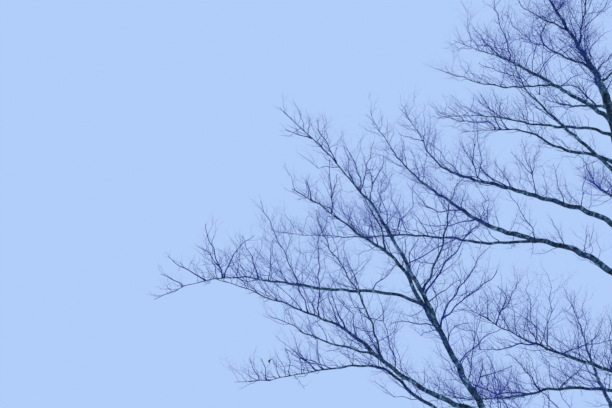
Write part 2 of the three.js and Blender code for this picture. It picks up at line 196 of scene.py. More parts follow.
class Limb:
    """A limb or shoot: a centre line with a radius. Its sizes are given in millimetres."""

    def __init__(self, start, length, bearings, rises, radius, seed,
                 tip=2.5, taper=0.85, wobble=1.0, wood=0.0, parent_radius=0.0):
        self.length, self.radius, self.tip = length / 1000, radius / 1000, tip / 1000
        self.taper, self.seed, self.wood, self.parent_radius = taper, seed, wood, parent_radius
        step = np.arange(STEPS)
        share = (step + 0.5) / STEPS
        rise = np.interp(share, np.linspace(0, 1, len(rises)), rises)
        bearing = np.interp(share, np.linspace(0, 1, len(bearings)), bearings)
        rise += wobble * WOBBLE_DEGREES * (chance(seed, 2 * step) - 0.5)
        bearing += wobble * WOBBLE_DEGREES * (chance(seed, 2 * step + 1) - 0.5)
        strides = heading_of(bearing, rise) * self.length / STEPS
        self.corners = np.vstack([start, start + np.cumsum(strides, axis=0)])
        self.side = heading_of(bearings[0] + 90, 0)
        self.line = smooth_line(self.corners, POINTS_PER_STEP)
        self.line += self.crooks()
        self.shares = np.linspace(0, 1, len(self.line))
        self.headings = unit(np.gradient(self.line, axis=0))

    def crooks(self):
        """Bends that the steps miss: a tenth of the limb's thickness and up to 11 mm more."""
        share = np.linspace(0, 1, len(self.line))
        phases = FULL_TURN * chance(self.seed, 60 + np.arange(4))
        distance = FULL_TURN * share * self.length
        least = LEAST_CROOK if self.radius > LIMB_FROM_RADIUS else LEAST_SHOOT_CROOK
        size = (0.12 * self.radius_at(share) + least) * np.minimum(1, share * 12)
        sideways = size * two_waves(distance, SIDEWAYS_CROOKS, phases[:2])
        upright = size * two_waves(distance, UPRIGHT_CROOKS, phases[2:])
        above = np.cross(unit(np.gradient(self.line, axis=0)), self.side)
        return sideways[:, None] * self.side + upright[:, None] * above

    def place(self, share):
        return np.stack([np.interp(share, self.shares, self.line[:, k]) for k in range(3)], -1)

    def heading(self, share):
        return unit(np.stack(
            [np.interp(share, self.shares, self.headings[:, k]) for k in range(3)], -1))

    def radius_at(self, share):
        return self.tip + (self.radius - self.tip) * (1 - np.asarray(share)) ** self.taper


def leaving(parent, share, length, bearings, rises, radius, seed, **manner):
    """A limb or shoot that leaves its parent at a share of the parent's length."""
    return Limb(parent.place(share), length, bearings, rises, radius, seed,
                parent_radius=parent.radius_at(share), **manner)


print("a limb has", STEPS, "steps and", STEPS * POINTS_PER_STEP + 1, "points")

# %% [markdown]
# ## The trunk and the boughs
# A limb is known by where it leaves its parent, how long and thick it is, which way it
# heads (its bearing, from +X towards +Y) and how steeply it rises. These are the sizes that
# the solids were made from, in millimetres and degrees, so that the bark laid over a solid
# fits it. `wood` is the share that the solids leave bare; a limb's twig mass is the rest.
# Reading the solids' own meshes would give their facets, not the smooth limb they stand for.

# %% Grow the trunk and the boughs
TRUNK = dict(length=13400, bearings=(0, 0), radius=238, wood=0.72, taper=1.1, wobble=0.25,
             rises=(91, 89, 90, 91, 89, 90, 89, 110, 106, 90))

# name, parent, at, length, bearings, rises, radius, wood
LIMBS = [
    ("left_leader", "trunk", 1790, 8250, (200, 200), (43, 44, 45, 72, 51, 33), 64, 0.63),
    ("left_fork", "left_leader", 4800, 2600, (190, 182), (55, 70, 33, 42, 28), 28, 0.42),
    ("left_spreading", "left_fork", 350, 3250, (192, 184), (19, -2, 4, 5, -14, -36), 22, 0.4),
    ("left_lower", "left_leader", 3630, 3950, (182, 176), (19, 28, 46, 20, 27, 8), 34, 0.355),
    ("left_lowest", "left_leader", 3250, 3750, (172, 160), (29, 27, 49, -3, -6, 8), 27, 0.42),
    ("left_arching", "trunk", 5880, 6300, (158, 148), (70, 49, 22, 50, 50, 62, 75), 52, 0.46),
    ("left_level", "left_arching", 2050, 4300, (164, 160), (0, 19, 8, 11, 19), 23, 0.42),
    ("left_middle", "trunk", 7000, 5000, (150, 160), (64, 36, 31, 28, 74, 58), 46, 0.45),
    ("left_back_low", "trunk", 4700, 3450, (150, 160), (38, 16, -4, 7, 30), 28, 0.45),
    ("left_inner", "trunk", 4950, 2900, (172, 165), (24, 23, 30, 44), 30, 0.45),
    ("left_upper", "trunk", 8250, 2500, (175, 180), (48, 10, 40, -3, -4), 29, 0.45),
    ("left_climbing", "trunk", 7950, 2800, (205, 200), (50, 28, 46, 108), 33, 0.45),
    ("left_topmost", "trunk", 8820, 2850, (190, 190), (26, -8, 8, -2, -14), 25, 0.42),
    ("front_left_top", "trunk", 9050, 3050, (215, 205), (24, 4, 5, 10, -4, 4), 36, 0.42),
    ("right_leader", "trunk", 2480, 7700, (18, 4), (45, 42, 50, 62, 46, 40), 62, 0.58),
    ("right_fork", "right_leader", 4150, 3500, (346, 338), (44, 56, 30, 38, 22), 30, 0.42),
    ("right_spreading", "right_leader", 3050, 4000, (32, 22), (26, 12, 4, 14, -8), 31, 0.42),
    ("back_leader", "trunk", 3250, 6900, (88, 78), (44, 42, 46, 60, 48), 56, 0.56),
    ("back_fork", "back_leader", 3000, 3900, (58, 46), (34, 24, 30, 14, 6), 28, 0.42),
    ("back_spreading", "back_leader", 2550, 3900, (122, 132), (26, 22, 12, 20, 4), 27, 0.42),
    ("front_leader", "trunk", 3900, 6300, (298, 286), (42, 36, 46, 54, 40), 52, 0.54),
    ("front_fork", "front_leader", 2700, 3700, (328, 336), (30, 24, 14, 22, 2), 27, 0.42),
    ("front_spreading", "front_leader", 2350, 3700, (264, 262), (30, 18, 26, 10, 16), 26, 0.42),
    ("right_middle", "trunk", 5550, 5100, (26, 12), (52, 30, 16, 26, 6), 46, 0.46),
    ("front_right_middle", "trunk", 6650, 4500, (318, 312), (54, 36, 22, 34, 16), 41, 0.44),
    ("back_middle", "trunk", 7450, 4200, (72, 84), (52, 36, 30, 44, 40), 37, 0.43),
    ("right_upper", "trunk", 8600, 3700, (8, -8), (50, 34, 42, 58, 50), 33, 0.42),
    ("front_upper", "trunk", 7550, 3500, (286, 278), (50, 32, 40, 30, 42), 29, 0.42),
    ("back_upper", "trunk", 9350, 2700, (96, 112), (42, 34, 46, 60), 25, 0.4),
]
TIP_RADIUS = 4
BROKEN_TIP = {"left_fork": 9}  # this one ends blunt

limbs = {"trunk": Limb(np.zeros(3), seed=1, **TRUNK)}
for number, (name, parent, at, length, bearings, rises, radius, wood) in enumerate(LIMBS):
    limbs[name] = leaving(
        limbs[parent], at / 1000 / limbs[parent].length, length, bearings, rises, radius,
        number + 2, tip=BROKEN_TIP.get(name, TIP_RADIUS), wood=wood)
trunk = limbs["trunk"]
print(len(LIMBS), "boughs; the left leader ends at", limbs["left_leader"].line[-1].round(2))

# %% [markdown]
# ## The long shoots
# A limb's stem forks into a few long shoots inside its spray. These are in the solids too,
# so their sizes are repeated here as well.

# %% Grow the long shoots
# parent, at, length, bearings, rises, radius
SHOOTS = [
    ("left_leader", 5300, 1750, (345, 345), (56, 70, 80, 34), 16),
    ("left_leader", 5250, 1350, (335, 335), (52, 48, 44, 40), 12),
    ("left_lower", 1450, 2050, (210, 200), (84, 62, 54, 80), 14),
    ("left_lower", 1550, 1350, (196, 190), (8, 11, 26, 20), 15),
    ("left_lower", 2500, 1600, (200, 200), (72, 62, 65), 8),
    ("left_spreading", 2400, 650, (350, 340), (84, 56, 26), 8),
    ("left_arching", 3100, 900, (165, 165), (-5, -5, 32), 11),
    ("left_inner", 1700, 850, (192, 186), (-2, -20, 8), 12),
    ("left_back_low", 1800, 1050, (172, 170), (6, 0, 28, 64), 11),
    ("left_upper", 1800, 650, (195, 195), (66, 48, 15), 9),
    ("front_left_top", 1300, 1700, (180, 180), (-8, 1, 20, 24), 14),
    ("front_left_top", 2100, 1200, (200, 200), (100, 77, 78, 104), 10),
    ("trunk", 10150, 1700, (150, 170), (48, 40, 50, 118, 114), 20),
    ("trunk", 10950, 1150, (200, 200), (16, 12, 26, 98), 15),
    ("trunk", 9850, 2500, (20, 12), (40, 44, 60, 66), 21),
    ("trunk", 10600, 2000, (276, 270), (36, 40, 56, 60), 17),
    ("trunk", 11400, 1500, (60, 50), (40, 48, 60), 13),
]
shoots = []  # pairs of the limb that a shoot belongs to, and the shoot
lines = dict(limbs)  # every limb and shoot by its name
owner_of = {name: name for name in limbs}  # the limb that each of them belongs to


def add_shoot(name, parent, share, *sizes, **manner):
    """Grows a shoot on a limb or another shoot, whose owner it shares."""
    lines[name] = leaving(lines[parent], share, *sizes, **manner)
    owner_of[name] = owner_of[parent]
    shoots.append((owner_of[name], lines[name]))


for number, (parent, at, *sizes) in enumerate(SHOOTS):
    add_shoot(f"shoot {number}", parent, at / 1000 / lines[parent].length, *sizes, 101 + number)
print(len(shoots), "long shoots")

# %% [markdown]
# ## The finer shoots
# The pattern that the eye knows a crown by is drawn by shoots between a pencil and a thumb
# in thickness. A rule alone would put them anywhere, so on the limbs in the photograph they
# are placed one by one. Most follow a shoot that shows there, to within some degrees. Where
# too many cross to follow one, a shoot only fills the place.

# %% Grow the finer shoots
SHOOT_WOBBLE = 2.2
# name, parent, at, length, bearing, rises, radius
FINE_SHOOTS = [
    ("inner_rise", "left_leader", 4790, 1250, 340, (78, 58, 50, 54, 43), 12),
    ("inner_rise_twin", "inner_rise", 150, 900, 325, (28, 31, 28, 25, 20, 75), 10),
    ("inner_thin", "left_leader", 5140, 500, 350, (42, 32, 30), 7),
    ("gap_rise", "left_leader", 5610, 500, 20, (85, 84, 60, 50), 8),
    ("leader_mid_arc", "left_leader", 6590, 600, 10, (85, 81, 88, 98, 120, 112), 8),
    ("leader_mid_side", "leader_mid_arc", 260, 440, 345, (56, 60, 73, 80), 6),
    ("leader_end_right", "left_leader", 6745, 760, 350, (85, 72, 76, 81, 78, 71), 8),
    ("leader_end_arc", "left_leader", 6760, 770, 170, (93, 90, 74, 71, 62, 46), 8),
    ("leader_tip_rise", "left_leader", 7235, 740, 175, (75, 71, 77, 60, 72, 83, 81), 9),
    ("leader_tip_low", "left_leader", 7680, 380, 205, (11, -4, -2, 21), 7),
    ("leader_level", "left_leader", 4830, 660, 190, (20, 1, 4, 1, -10, -50), 7),
    ("leader_arc", "left_leader", 4580, 490, 350, (71, 80, 60, 26, 0, 3), 6),
    ("leader_low_right", "left_leader", 4340, 730, 345, (58, 42, 36, 24, 14), 8),
    ("leader_foot_rise", "left_leader", 3990, 450, 345, (55, 63, 80, 90), 9),
    ("leader_foot_side", "leader_foot_rise", 200, 400, 335, (16, 8, 1), 6),
    ("fork_rise", "left_fork", 870, 480, 20, (78, 82, 78, 60), 7),
    ("fork_parallel", "left_fork", 1180, 930, 210, (86, 79, 76, 63, 50, 68, 59), 13),
    ("fork_thin", "left_fork", 1290, 450, 190, (69, 84, 74, 68), 7),
    ("fork_upright", "left_fork", 1995, 820, 160, (94, 90, 84, 82, 92, 82), 8),
    ("fork_upright_side", "fork_upright", 230, 380, 10, (78, 80, 73, 86), 6),
    ("fork_end_thin", "left_fork", 2290, 330, 190, (71, 80, 69), 6),
    ("spreading_inner", "left_spreading", 640, 430, 345, (75, 44, 32, 50, 55), 7),
    ("spreading_upright", "left_spreading", 1880, 550, 10, (82, 84, 94, 80, 94), 6),
    ("spreading_mid_rise", "left_spreading", 2010, 630, 170, (85, 62, 72, 59, 66, 60), 8),
    ("spreading_end_fan", "left_spreading", 2425, 740, 190, (88, 66, 66, 69, 69, 84, 84), 9),
    ("spreading_end_side", "spreading_end_fan", 165, 340, 205, (32, 45, 29, 45), 6),
    ("spreading_tip_rise", "left_spreading", 2620, 530, 200, (24, 26, 26, 22, 28, 50), 8),
    ("spreading_tip_fan", "left_spreading", 2900, 300, 190, (54, 25, 28, 5), 6),
    ("lowest_fan", "left_lowest", 2540, 480, 185, (39, 34, 24, 22, 46, 38), 7),
    ("lowest_fan_low", "left_lowest", 2620, 500, 200, (8, 48, 28, 10, 30, 26, 32), 7),
    ("lowest_mid_rise", "left_lowest", 2830, 270, 180, (90, 82, 74), 5),
    ("lowest_rise", "left_lowest", 2985, 380, 180, (80, 98, 74, 70), 6),
    ("leaf_twig", "left_lowest", 3110, 270, 180, (63, 66, 71), 5),
    ("lowest_end_low", "left_lowest", 3240, 330, 205, (-16, -20, -6, 2), 6),
    ("lowest_end_rise", "left_lowest", 3300, 300, 190, (70, 84, 62), 6),
    ("lowest_end_fan", "left_lowest", 3400, 300, 180, (62, 66, 64), 6),
    ("lower_stub", "left_lower", 1430, 450, 205, (74, 52, 54), 10),
    ("lower_fan", "left_lower", 2010, 640, 175, (69, 72, 71, 78, 80), 9),
    ("lower_fan_twin", "left_lower", 2085, 420, 200, (62, 63, 74, 82), 7),
    ("lower_upright", "left_lower", 2370, 1270, 165, (93, 90, 91, 89, 90, 86), 9),
    ("inner_hook", "shoot 7", 820, 560, 190, (92, 88, 50, 4, 12, 40), 6),
    ("inner_foot_rise", "left_inner", 700, 800, 10, (74, 84, 78, 88), 7),
    ("inner_long_right", "left_inner", 1340, 750, 335, (39, 5, 4, 6, 10), 8),
    ("inner_mid_rise", "left_inner", 1700, 450, 180, (78, 66, 83, 104), 7),
    ("inner_fan", "left_inner", 2290, 680, 10, (76, 62, 55, 66, 118, 128), 9),
    ("inner_fan_right", "inner_fan", 260, 600, 345, (32, 58, 66, 68, 80), 7),
    ("inner_upright", "left_inner", 2420, 450, 20, (88, 84, 95, 96), 6),
    ("back_low_right", "left_back_low", 1440, 520, 345, (49, 40, 31, 50), 7),
    ("back_low_rise", "left_back_low", 1700, 690, 200, (67, 59, 50, 52, 30, 4), 9),
    ("arching_foot_thin", "left_arching", 1320, 480, 350, (90, 79, 73), 6),
    ("arching_low_thin", "left_arching", 1650, 480, 170, (81, 71, 67), 6),
    ("arching_rise", "left_arching", 2070, 980, 165, (83, 69, 64, 73, 56), 8),
    ("arching_thin", "left_arching", 2870, 570, 20, (86, 78, 94), 6),
    ("arching_hook", "left_arching", 3380, 1120, 200, (-11, -16, -20, 20, 50, 40, 60), 10),
    ("arching_end_rise", "left_arching", 4400, 610, 175, (92, 82, 79, 75), 7),
    ("arching_end_upright", "left_arching", 4765, 650, 20, (92, 94, 98, 97), 6),
    ("level_thin", "left_level", 545, 480, 190, (30, 66, 80), 6),
    ("level_end_rise", "left_level", 1635, 450, 190, (77, 62, 50, 36), 7),
    ("level_far_rise", "left_level", 2080, 430, 20, (98, 84, 86), 6),
    ("middle_foot_thin", "left_middle", 1055, 660, 350, (74, 78, 72, 78), 7),
    ("middle_thin", "left_middle", 1310, 740, 185, (75, 81, 88, 96), 7),
    ("middle_rise", "left_middle", 1785, 1050, 175, (89, 88, 82, 82, 94, 88), 8),
    ("middle_rise_left", "middle_rise", 380, 480, 190, (50, 53, 52), 6),
    ("middle_rise_right", "middle_rise", 400, 530, 350, (62, 83, 62, 70), 6),
    ("middle_mid_thin", "left_middle", 2170, 570, 180, (72, 65, 61, 63), 7),
    ("middle_fork", "left_middle", 2240, 700, 205, (16, 20, 26, 40, 64), 11),
    ("middle_fan", "left_middle", 2640, 1020, 190, (36, 60, 86, 103, 104, 100, 96), 11),
    ("middle_fan_low", "middle_fan", 130, 660, 185, (15, 0, 24, 30, 56), 7),
    ("middle_fan_left", "middle_fan", 350, 460, 195, (57, 67, 70), 7),
    ("middle_end_level", "left_middle", 4120, 460, 195, (12, -3, 0, 26, 44), 6),
    ("upper_rise", "left_upper", 1900, 730, 175, (75, 76, 80, 66, 57, 67), 9),
    ("upper_level", "left_upper", 1990, 1100, 200, (85, 14, -14, -11, -9, 12, -6, 28), 9),
    ("upper_level_rise", "upper_level", 600, 340, 190, (58, 65, 23, 30), 6),
    ("topmost_mid_upright", "left_topmost", 1390, 480, 0, (83, 97, 78), 6),
    ("topmost_upright", "left_topmost", 1855, 390, 10, (78, 76, 77), 6),
    ("climbing_level", "left_climbing", 2225, 720, 200, (-4, 14, -4, 3, 10, 36), 8),
    ("top_loop", "front_left_top", 340, 1110, 195, (70, 78, 40, 42, 16, -18, -14, 10, 14), 13),
    ("top_inner_loop", "front_left_top", 385, 690, 180, (48, 52, 97, 83, 70, 78), 10),
    ("top_inner_rise", "front_left_top", 1160, 410, 345, (64, 33, 32, 18, 12), 7),
    ("top_hook", "front_left_top", 1690, 340, 170, (90, 40, 22, 30, 37), 7),
    ("top_fan", "front_left_top", 2250, 630, 185, (56, 48, 60, 56, 42, 54), 9),
    ("top_curl", "shoot 12", 930, 960, 195, (-14, 2, 50, 40, 38, 60, 80, 90), 8),
    ("top_lowest_right", "trunk", 9280, 850, 350, (52, 40, 64, 72), 9),
    ("top_front_right", "trunk", 9620, 750, 320, (60, 46, 42, 62), 8),
    ("top_low_right", "trunk", 9830, 550, 340, (90, 96, 58, 52, 47), 8),
    ("top_fan_left", "trunk", 10180, 720, 198, (42, 41, 48, 42, 46, 42), 9),
    ("top_right_rise", "trunk", 10230, 750, 345, (80, 86, 68, 44, 40, 25), 9),
    ("top_fan_back", "trunk", 10330, 600, 165, (58, 61, 58, 66, 52), 8),
    ("top_upright", "trunk", 10420, 860, 350, (84, 80, 80, 82), 9),
    ("top_far_right", "trunk", 10050, 800, 355, (44, 52, 40, 66), 8),
    ("top_upright_far", "trunk", 10670, 700, 10, (85, 95, 98, 83), 8),
]
for number, (name, parent, at, length, bearing, rises, radius) in enumerate(FINE_SHOOTS):
    add_shoot(name, parent, at / 1000 / lines[parent].length, length, (bearing, bearing), rises,
              radius, 301 + number, wobble=SHOOT_WOBBLE)
print(len(FINE_SHOOTS), "finer shoots")

# %% [markdown]
# The limbs outside the picture have finer shoots too, or the crown would look bare from
# behind. Nothing shows where they stand, so here a rule is enough: they leave by turns to
# the left and the right, and each rises at three chance angles.

# %% Grow side shoots on the limbs outside the picture
SIDE_SHOOTS_PER_METRE = 1.5

drawn = {owner_of[row[0]] for row in FINE_SHOOTS}
for name, limb in limbs.items():
    count = 0 if name in drawn else int(SIDE_SHOOTS_PER_METRE * limb.length)
    for order in range(count):
        seed = 9000 + 40 * limb.seed + order
        luck = chance(seed, np.arange(6))
        share = 0.15 + 0.75 * (order + luck[0]) / count
        ahead = limb.heading(share)
        bearing = math.degrees(math.atan2(ahead[1], ahead[0])) + (-1) ** order * (20 + 55 * luck[1])
        length = 450 + 750 * luck[2] ** 1.4
        add_shoot(f"{name} side {order}", name, share, length, (bearing, bearing),
                  tuple(35 + 50 * luck[3:]), 5 + length / 200, seed, wobble=SHOOT_WOBBLE)
print(len(shoots), "shoots in all")

# %% [markdown]
# ## How twigs grow
# A twig leaves the upper side of a level stem, or any side of an upright one, leans out and
# then turns up to the light. It carries side twigs by the same rule, they carry finer ones,
# and the last are spurs a few centimetres long. Particles or instances could place them, but
# they are lost when the model is exported. Here every twig of an order is grown at once in
# arrays, with one row for each twig.

# %% Grow one order of twigs in arrays
from collections import namedtuple

GOLDEN_SHARE = 0.618
MOST_ROLL = math.radians(112)
CROOKEDNESS = 0.85
FIRST_STRIDE_CROOKEDNESS = 0.4

# A manner is the spread in degrees, how strongly a twig turns up, and how much both vary
Roots = namedtuple("Roots", "place heading stem_radius index reach seed owner spray manner")
Twigs = namedtuple("Twigs", "nodes length radius seed owner spray")


def picked(rows, chosen):
    """The chosen rows of every array."""
    return type(rows)(*(part[chosen] for part in rows))


def joined(groups):
    """All the groups' rows in one."""
    return type(groups[0])(*(np.concatenate(part) for part in zip(*groups)))


def along(twigs, which, share):
    """Place, heading and radius at a share of each chosen twig."""
    segments = twigs.nodes.shape[1] - 1
    step = np.minimum((share * segments).astype(int), segments - 1)
    near, far = twigs.nodes[which, step], twigs.nodes[which, step + 1]
    part = (share * segments - step)[:, None]
    return near + (far - near) * part, unit(far - near), twigs.radius[which] * (1 - 0.8 * share)


def grow(roots, segments, slender):
    """Twigs from their roots: out along one heading, turning to another, crooked at each bud."""
    tangent, seed = roots.heading, roots.seed
    upward = np.array([0, 0, 1.0]) - tangent * tangent[:, 2:]
    level = np.cross(tangent, [0.0, 1.0, 0.02])
    above = unit(np.where(np.linalg.norm(upward, axis=1)[:, None] > 0.05, upward, level))
    beside = np.cross(tangent, above)
    widest = MOST_ROLL + (math.pi - MOST_ROLL) * tangent[:, 2] ** 2
    roll = widest * (2 * ((roots.index * GOLDEN_SHARE + 0.25 * chance(seed, 0)) % 1) - 1)
    spread, lift, variety = roots.manner.T
    spread = np.radians(spread) * (1 + variety * (2 * chance(seed, 1) - 1))
    lift = lift * (1 + variety * (2 * chance(seed, 4) - 1))
    out = (tangent * np.cos(spread)[:, None]
           + above * (np.cos(roll) * np.sin(spread))[:, None]
           + beside * (np.sin(roll) * np.sin(spread))[:, None])
    on = out + 0.3 * tangent
    on[:, 2] += lift
    on = unit(on)
    length = roots.reach * (0.75 + 0.35 * out[:, 2]) * (0.7 + 0.6 * chance(seed, 2))
    radius = np.minimum(length / slender[0] + slender[1], 0.5 * roots.stem_radius)
    step = np.arange(segments)
    share = ((step + 0.5) / segments)[None, :, None]
    crooks = CROOKEDNESS * (chance(
        seed[:, None, None], 20 + step[:, None] * 3 + np.arange(3)) - 0.5)
    crooks[:, 0] *= FIRST_STRIDE_CROOKEDNESS
    heading = unit(out[:, None] * (1 - share) + on[:, None] * share + crooks)
    strides = heading * (length / segments)[:, None, None]
    nodes = roots.place[:, None] + np.cumsum(
        np.concatenate([0 * strides[:, :1], strides], 1), 1)
    return Twigs(nodes, length, radius, seed, roots.owner, roots.spray)


print("a twig's roots have", Roots._fields)

# %% [markdown]
# ## Room for each twig
# On a real tree a twig grows where there is light, so each limb's twigs fill the room about
# that limb and leave gaps between limbs. A twig here keeps to its own limb's space, the room
# where other limbs are not much nearer, and stays off all bare wood. One that doesn't fit is
# tried again shorter, and then left out. That keeps the crown's gaps open.

# %% Fit twigs into their limb's space
REACH_OVER = 0.6  # how a twig's distance from its own limb counts beside that from others
WOOD_CLEARANCE = 0.012
SHORTER = 0.62
FITTING_TRIES = 3
TESTED_SHARES = (0.3, 0.5, 0.75, 0.999)
OUTREACH = 0.08  # how far past the solids' box a twig may stand
LOWEST_TWIG = 0.5
SHOOT_CORNER_STEP = 3  # a shoot is short, so every third corner is enough to measure by

owner_names = list(limbs)
owner_number = {name: number for number, name in enumerate(owner_names)}
claims = [(owner_number[name], limb) for name, limb in limbs.items()]
claims += [(owner_number[name], shoot) for name, shoot in shoots]


def nearest_on(limb, points):
    """Distance from points to a limb's centre line, and the share of it they are nearest."""
    corners = limb.corners if limb.wood else limb.corners[::SHOOT_CORNER_STEP]
    near, leg = corners[:-1], np.diff(corners, axis=0)
    from_near = points[:, None] - near
    part = np.clip((from_near * leg).sum(-1) / (leg * leg).sum(-1), 0, 1)
    gap = np.linalg.norm(from_near - part[..., None] * leg, axis=-1)
    best = gap.argmin(axis=1)
    row = np.arange(len(points))
    return gap[row, best], (best + part[row, best]) / len(leg)


def in_the_box(twigs):
    low, high = np.array(cad_box[0]) - OUTREACH, np.array(cad_box[1]) + OUTREACH
    low[2] = LOWEST_TWIG
    return ((twigs.nodes > low) & (twigs.nodes < high)).all(axis=(1, 2))


def keeps_its_space(twigs):
    """True for each twig that stays about its own limb, clear of all wood, and in the box."""
    count = len(twigs.seed)
    samples = np.stack([along(twigs, np.arange(count), np.full(count, share))[0]
                        for share in TESTED_SHARES], axis=1)
    points = samples.reshape(-1, 3)
    owner = np.repeat(twigs.owner, len(TESTED_SHARES))
    own, other = np.full(len(points), 1e9), np.full(len(points), 1e9)
    clear = np.ones(len(points), bool)
    for number, limb in claims:
        gap, where = nearest_on(limb, points)
        mine = owner == number
        own = np.where(mine, np.minimum(own, gap), own)
        other = np.where(mine, other, np.minimum(other, gap))
        if limb.wood:
            clear &= ~((where < limb.wood) & (gap < limb.radius_at(where) + WOOD_CLEARANCE))
    good = clear & (REACH_OVER * own < other)
    return good.reshape(samples.shape[:2]).all(axis=1) & in_the_box(twigs)


def fitted(roots, segments, slender):
    """The longest of a few tries at each twig that keeps its space."""
    waiting, found = roots, []
    for tries in range(FITTING_TRIES):
        twigs = grow(waiting._replace(reach=waiting.reach * SHORTER ** tries), segments, slender)
        fits = keeps_its_space(twigs)
        found.append(picked(twigs, fits))
        waiting = picked(waiting, ~fits)
    return joined(found)


print(len(claims), "limbs and shoots claim space")

# %% [markdown]
# ## The first order, along stems and shoots
# The solids' own twigs come first, with the same seeds and shares. More stand between them,
# most of them shorter, and others rise from the bare boughs, as they do on the photograph's
# level limbs. A real crown's twigs stand closer where it is lit, so how close they stand is
# set limb by limb for those in the photograph.

# %% Grow the first order of twigs
TWIGS_PER_METRE = 2.8
BETWEEN_PER_METRE = 8
BOUGH_TWIGS_PER_METRE = 9
TRUNK_TWIGS_PER_METRE = 1.5
SHOOT_START = 0.12
STEM_END, BETWEEN_END = 0.97, 0.99
BOUGH_START, TRUNK_START = 0.15, 0.35
TWIG_REACH = 0.5
LONGEST_TWIG = 1.15
LONGEST_BETWEEN = 1.1
BUD_TO_BUD = 20  # seeds kept for each twig and its side twigs
BETWEEN_SEED, BOUGH_SEED = 500000, 800000
AS_SOLID, UPRIGHT, SWEPT = (46, 0.55, 0.25), (56, 0.65, 0.8), (58, 0.4, 0.7)
# How much closer twigs stand on the limbs in the photograph. The rest have rather fewer than
# the rule gives, so that most of the triangles go where they show
DENSER = dict(trunk=2.6, front_left_top=2.4, left_topmost=2.8, left_upper=2.5, left_climbing=2.6,
              left_middle=1.8, left_arching=1.8, left_level=2.0, left_inner=3.8,
              left_back_low=3.8, left_lowest=2.0, left_lower=2.2, left_fork=2.2,
              left_spreading=1.6, left_leader=1.9)
DENSER_ELSEWHERE = 0.8
FIRST_SLENDER, SECOND_SLENDER = (210, 0.0020), (150, 0.0020)


def row_of_twigs(number, limb, per_metre, low, high, reach_at, first_seed, manner):
    """Roots of twigs spread along part of one limb."""
    count = int(per_metre * limb.length * (high - low) + 0.5)
    order = np.arange(count)
    seeds = limb.seed * 1000 + first_seed + BUD_TO_BUD * order
    step = (order + 0.3 + 0.5 * chance(seeds, 3)) / max(count, 1)
    share = low + (high - low) * step
    return Roots(limb.place(share), limb.heading(share), limb.radius_at(share), order,
                 reach_at(step, seeds), seeds, np.full(count, number), seeds,
                 np.tile(manner, (count, 1)))


rows = []
for number, limb in claims:
    start = limb.wood or SHOOT_START
    denser = DENSER.get(owner_names[number], DENSER_ELSEWHERE)
    longest = min(TWIG_REACH * limb.length * (1 - start), LONGEST_TWIG)
    between = min(0.25 + 0.5 * limb.length * (1 - start), LONGEST_BETWEEN)
    rows.append(row_of_twigs(
        number, limb, TWIGS_PER_METRE * (1 - start) / (STEM_END - start), start, STEM_END,
        lambda step, seed: longest * (1 - 0.6 * step), 0, AS_SOLID))
    rows.append(row_of_twigs(
        number, limb, BETWEEN_PER_METRE * denser, start, BETWEEN_END,
        lambda step, seed: between * (1 - 0.55 * step) * (0.4 + 0.75 * chance(seed, 5)),
        BETWEEN_SEED, UPRIGHT))
    if limb.wood:
        on_trunk = limb is trunk
        rows.append(row_of_twigs(
            number, limb, TRUNK_TWIGS_PER_METRE if on_trunk else BOUGH_TWIGS_PER_METRE * denser,
            TRUNK_START if on_trunk else BOUGH_START, limb.wood,
            lambda step, seed: (0.25 + 0.95 * chance(seed, 5) ** 1.3) * (0.6 + 0.4 * step),
            BOUGH_SEED, UPRIGHT))
tried = joined(rows)
first = fitted(tried, 7, FIRST_SLENDER)
print(len(first.seed), "twigs of the first order, of", len(tried.seed), "tried")

# %% [markdown]
# ## Side twigs
# Each twig of the first order carries 2 to 13 of the second, which still keep to their
# limb's space. Two of them stand in for the side twigs that the solids have.

# %% Grow the second order
SECOND_SPACING = 0.085
FEWEST_SECOND, MOST_SECOND = 2, 13


def side_roots(parents, counts, shares, salt):
    """Roots of side twigs, with each one's parent and the share of it where it stands."""
    parent = np.repeat(np.arange(len(parents.seed)), counts)
    index = np.arange(len(parent)) - np.repeat(np.cumsum(counts) - counts, counts)
    seed = (parents.seed[parent] * 31 + index * 977 + salt) % 4294967291
    share = shares(index, np.repeat(counts, counts), seed)
    place, heading, stem_radius = along(parents, parent, share)
    return parent, share, Roots(
        place, heading, stem_radius, index, parents.length[parent], seed,
        parents.owner[parent], parents.spray[parent], None)


def first_then_evenly(index, count, seed):
    """The solids' two side twigs near their places, and the rest between root and tip."""
    as_solid = 0.28 + 0.2 * (index + chance(seed, 3))
    between = 0.1 + 0.86 * (index - 2 + chance(seed, 3)) / np.maximum(count - 2, 1)
    return np.where(index < 2, as_solid, between)


counts = np.clip((first.length / SECOND_SPACING).astype(int), FEWEST_SECOND, MOST_SECOND)
parent, share, roots = side_roots(first, counts, first_then_evenly, 1)
in_solid = roots.index < 2
seed = np.where(in_solid, first.seed[parent] + 1 + roots.index, roots.seed)
reach = roots.reach * np.where(
    in_solid, 0.6 * (1 - 0.5 * share), 0.62 * (1 - 0.5 * share) * (0.55 + 0.45 * chance(seed, 5)))
manner = np.where(in_solid[:, None], AS_SOLID, SWEPT)
second = fitted(roots._replace(seed=seed, reach=reach, manner=manner), 3, SECOND_SLENDER)
print(len(second.seed), "twigs of the second order, of", len(seed), "tried")

# %% [markdown]
# ## Finer and finer
# The third and fourth orders are short, 12 and 4 centimetres on average, so they are only
# kept in the box and need no fitting to their limb's space. A fifth of them hang, as the
# small curls under the photograph's limbs do.

# %% Grow the finer orders
LONG_ENOUGH_TO_BEND = 0.15
HANGING_SHARE = 0.2
HANGING, SPUR = (55, -0.6, 0.5), (58, 0.35, 0.5)


def evenly(index, count, seed):
    return 0.12 + 0.86 * (index + 0.8 * chance(seed, 3)) / count


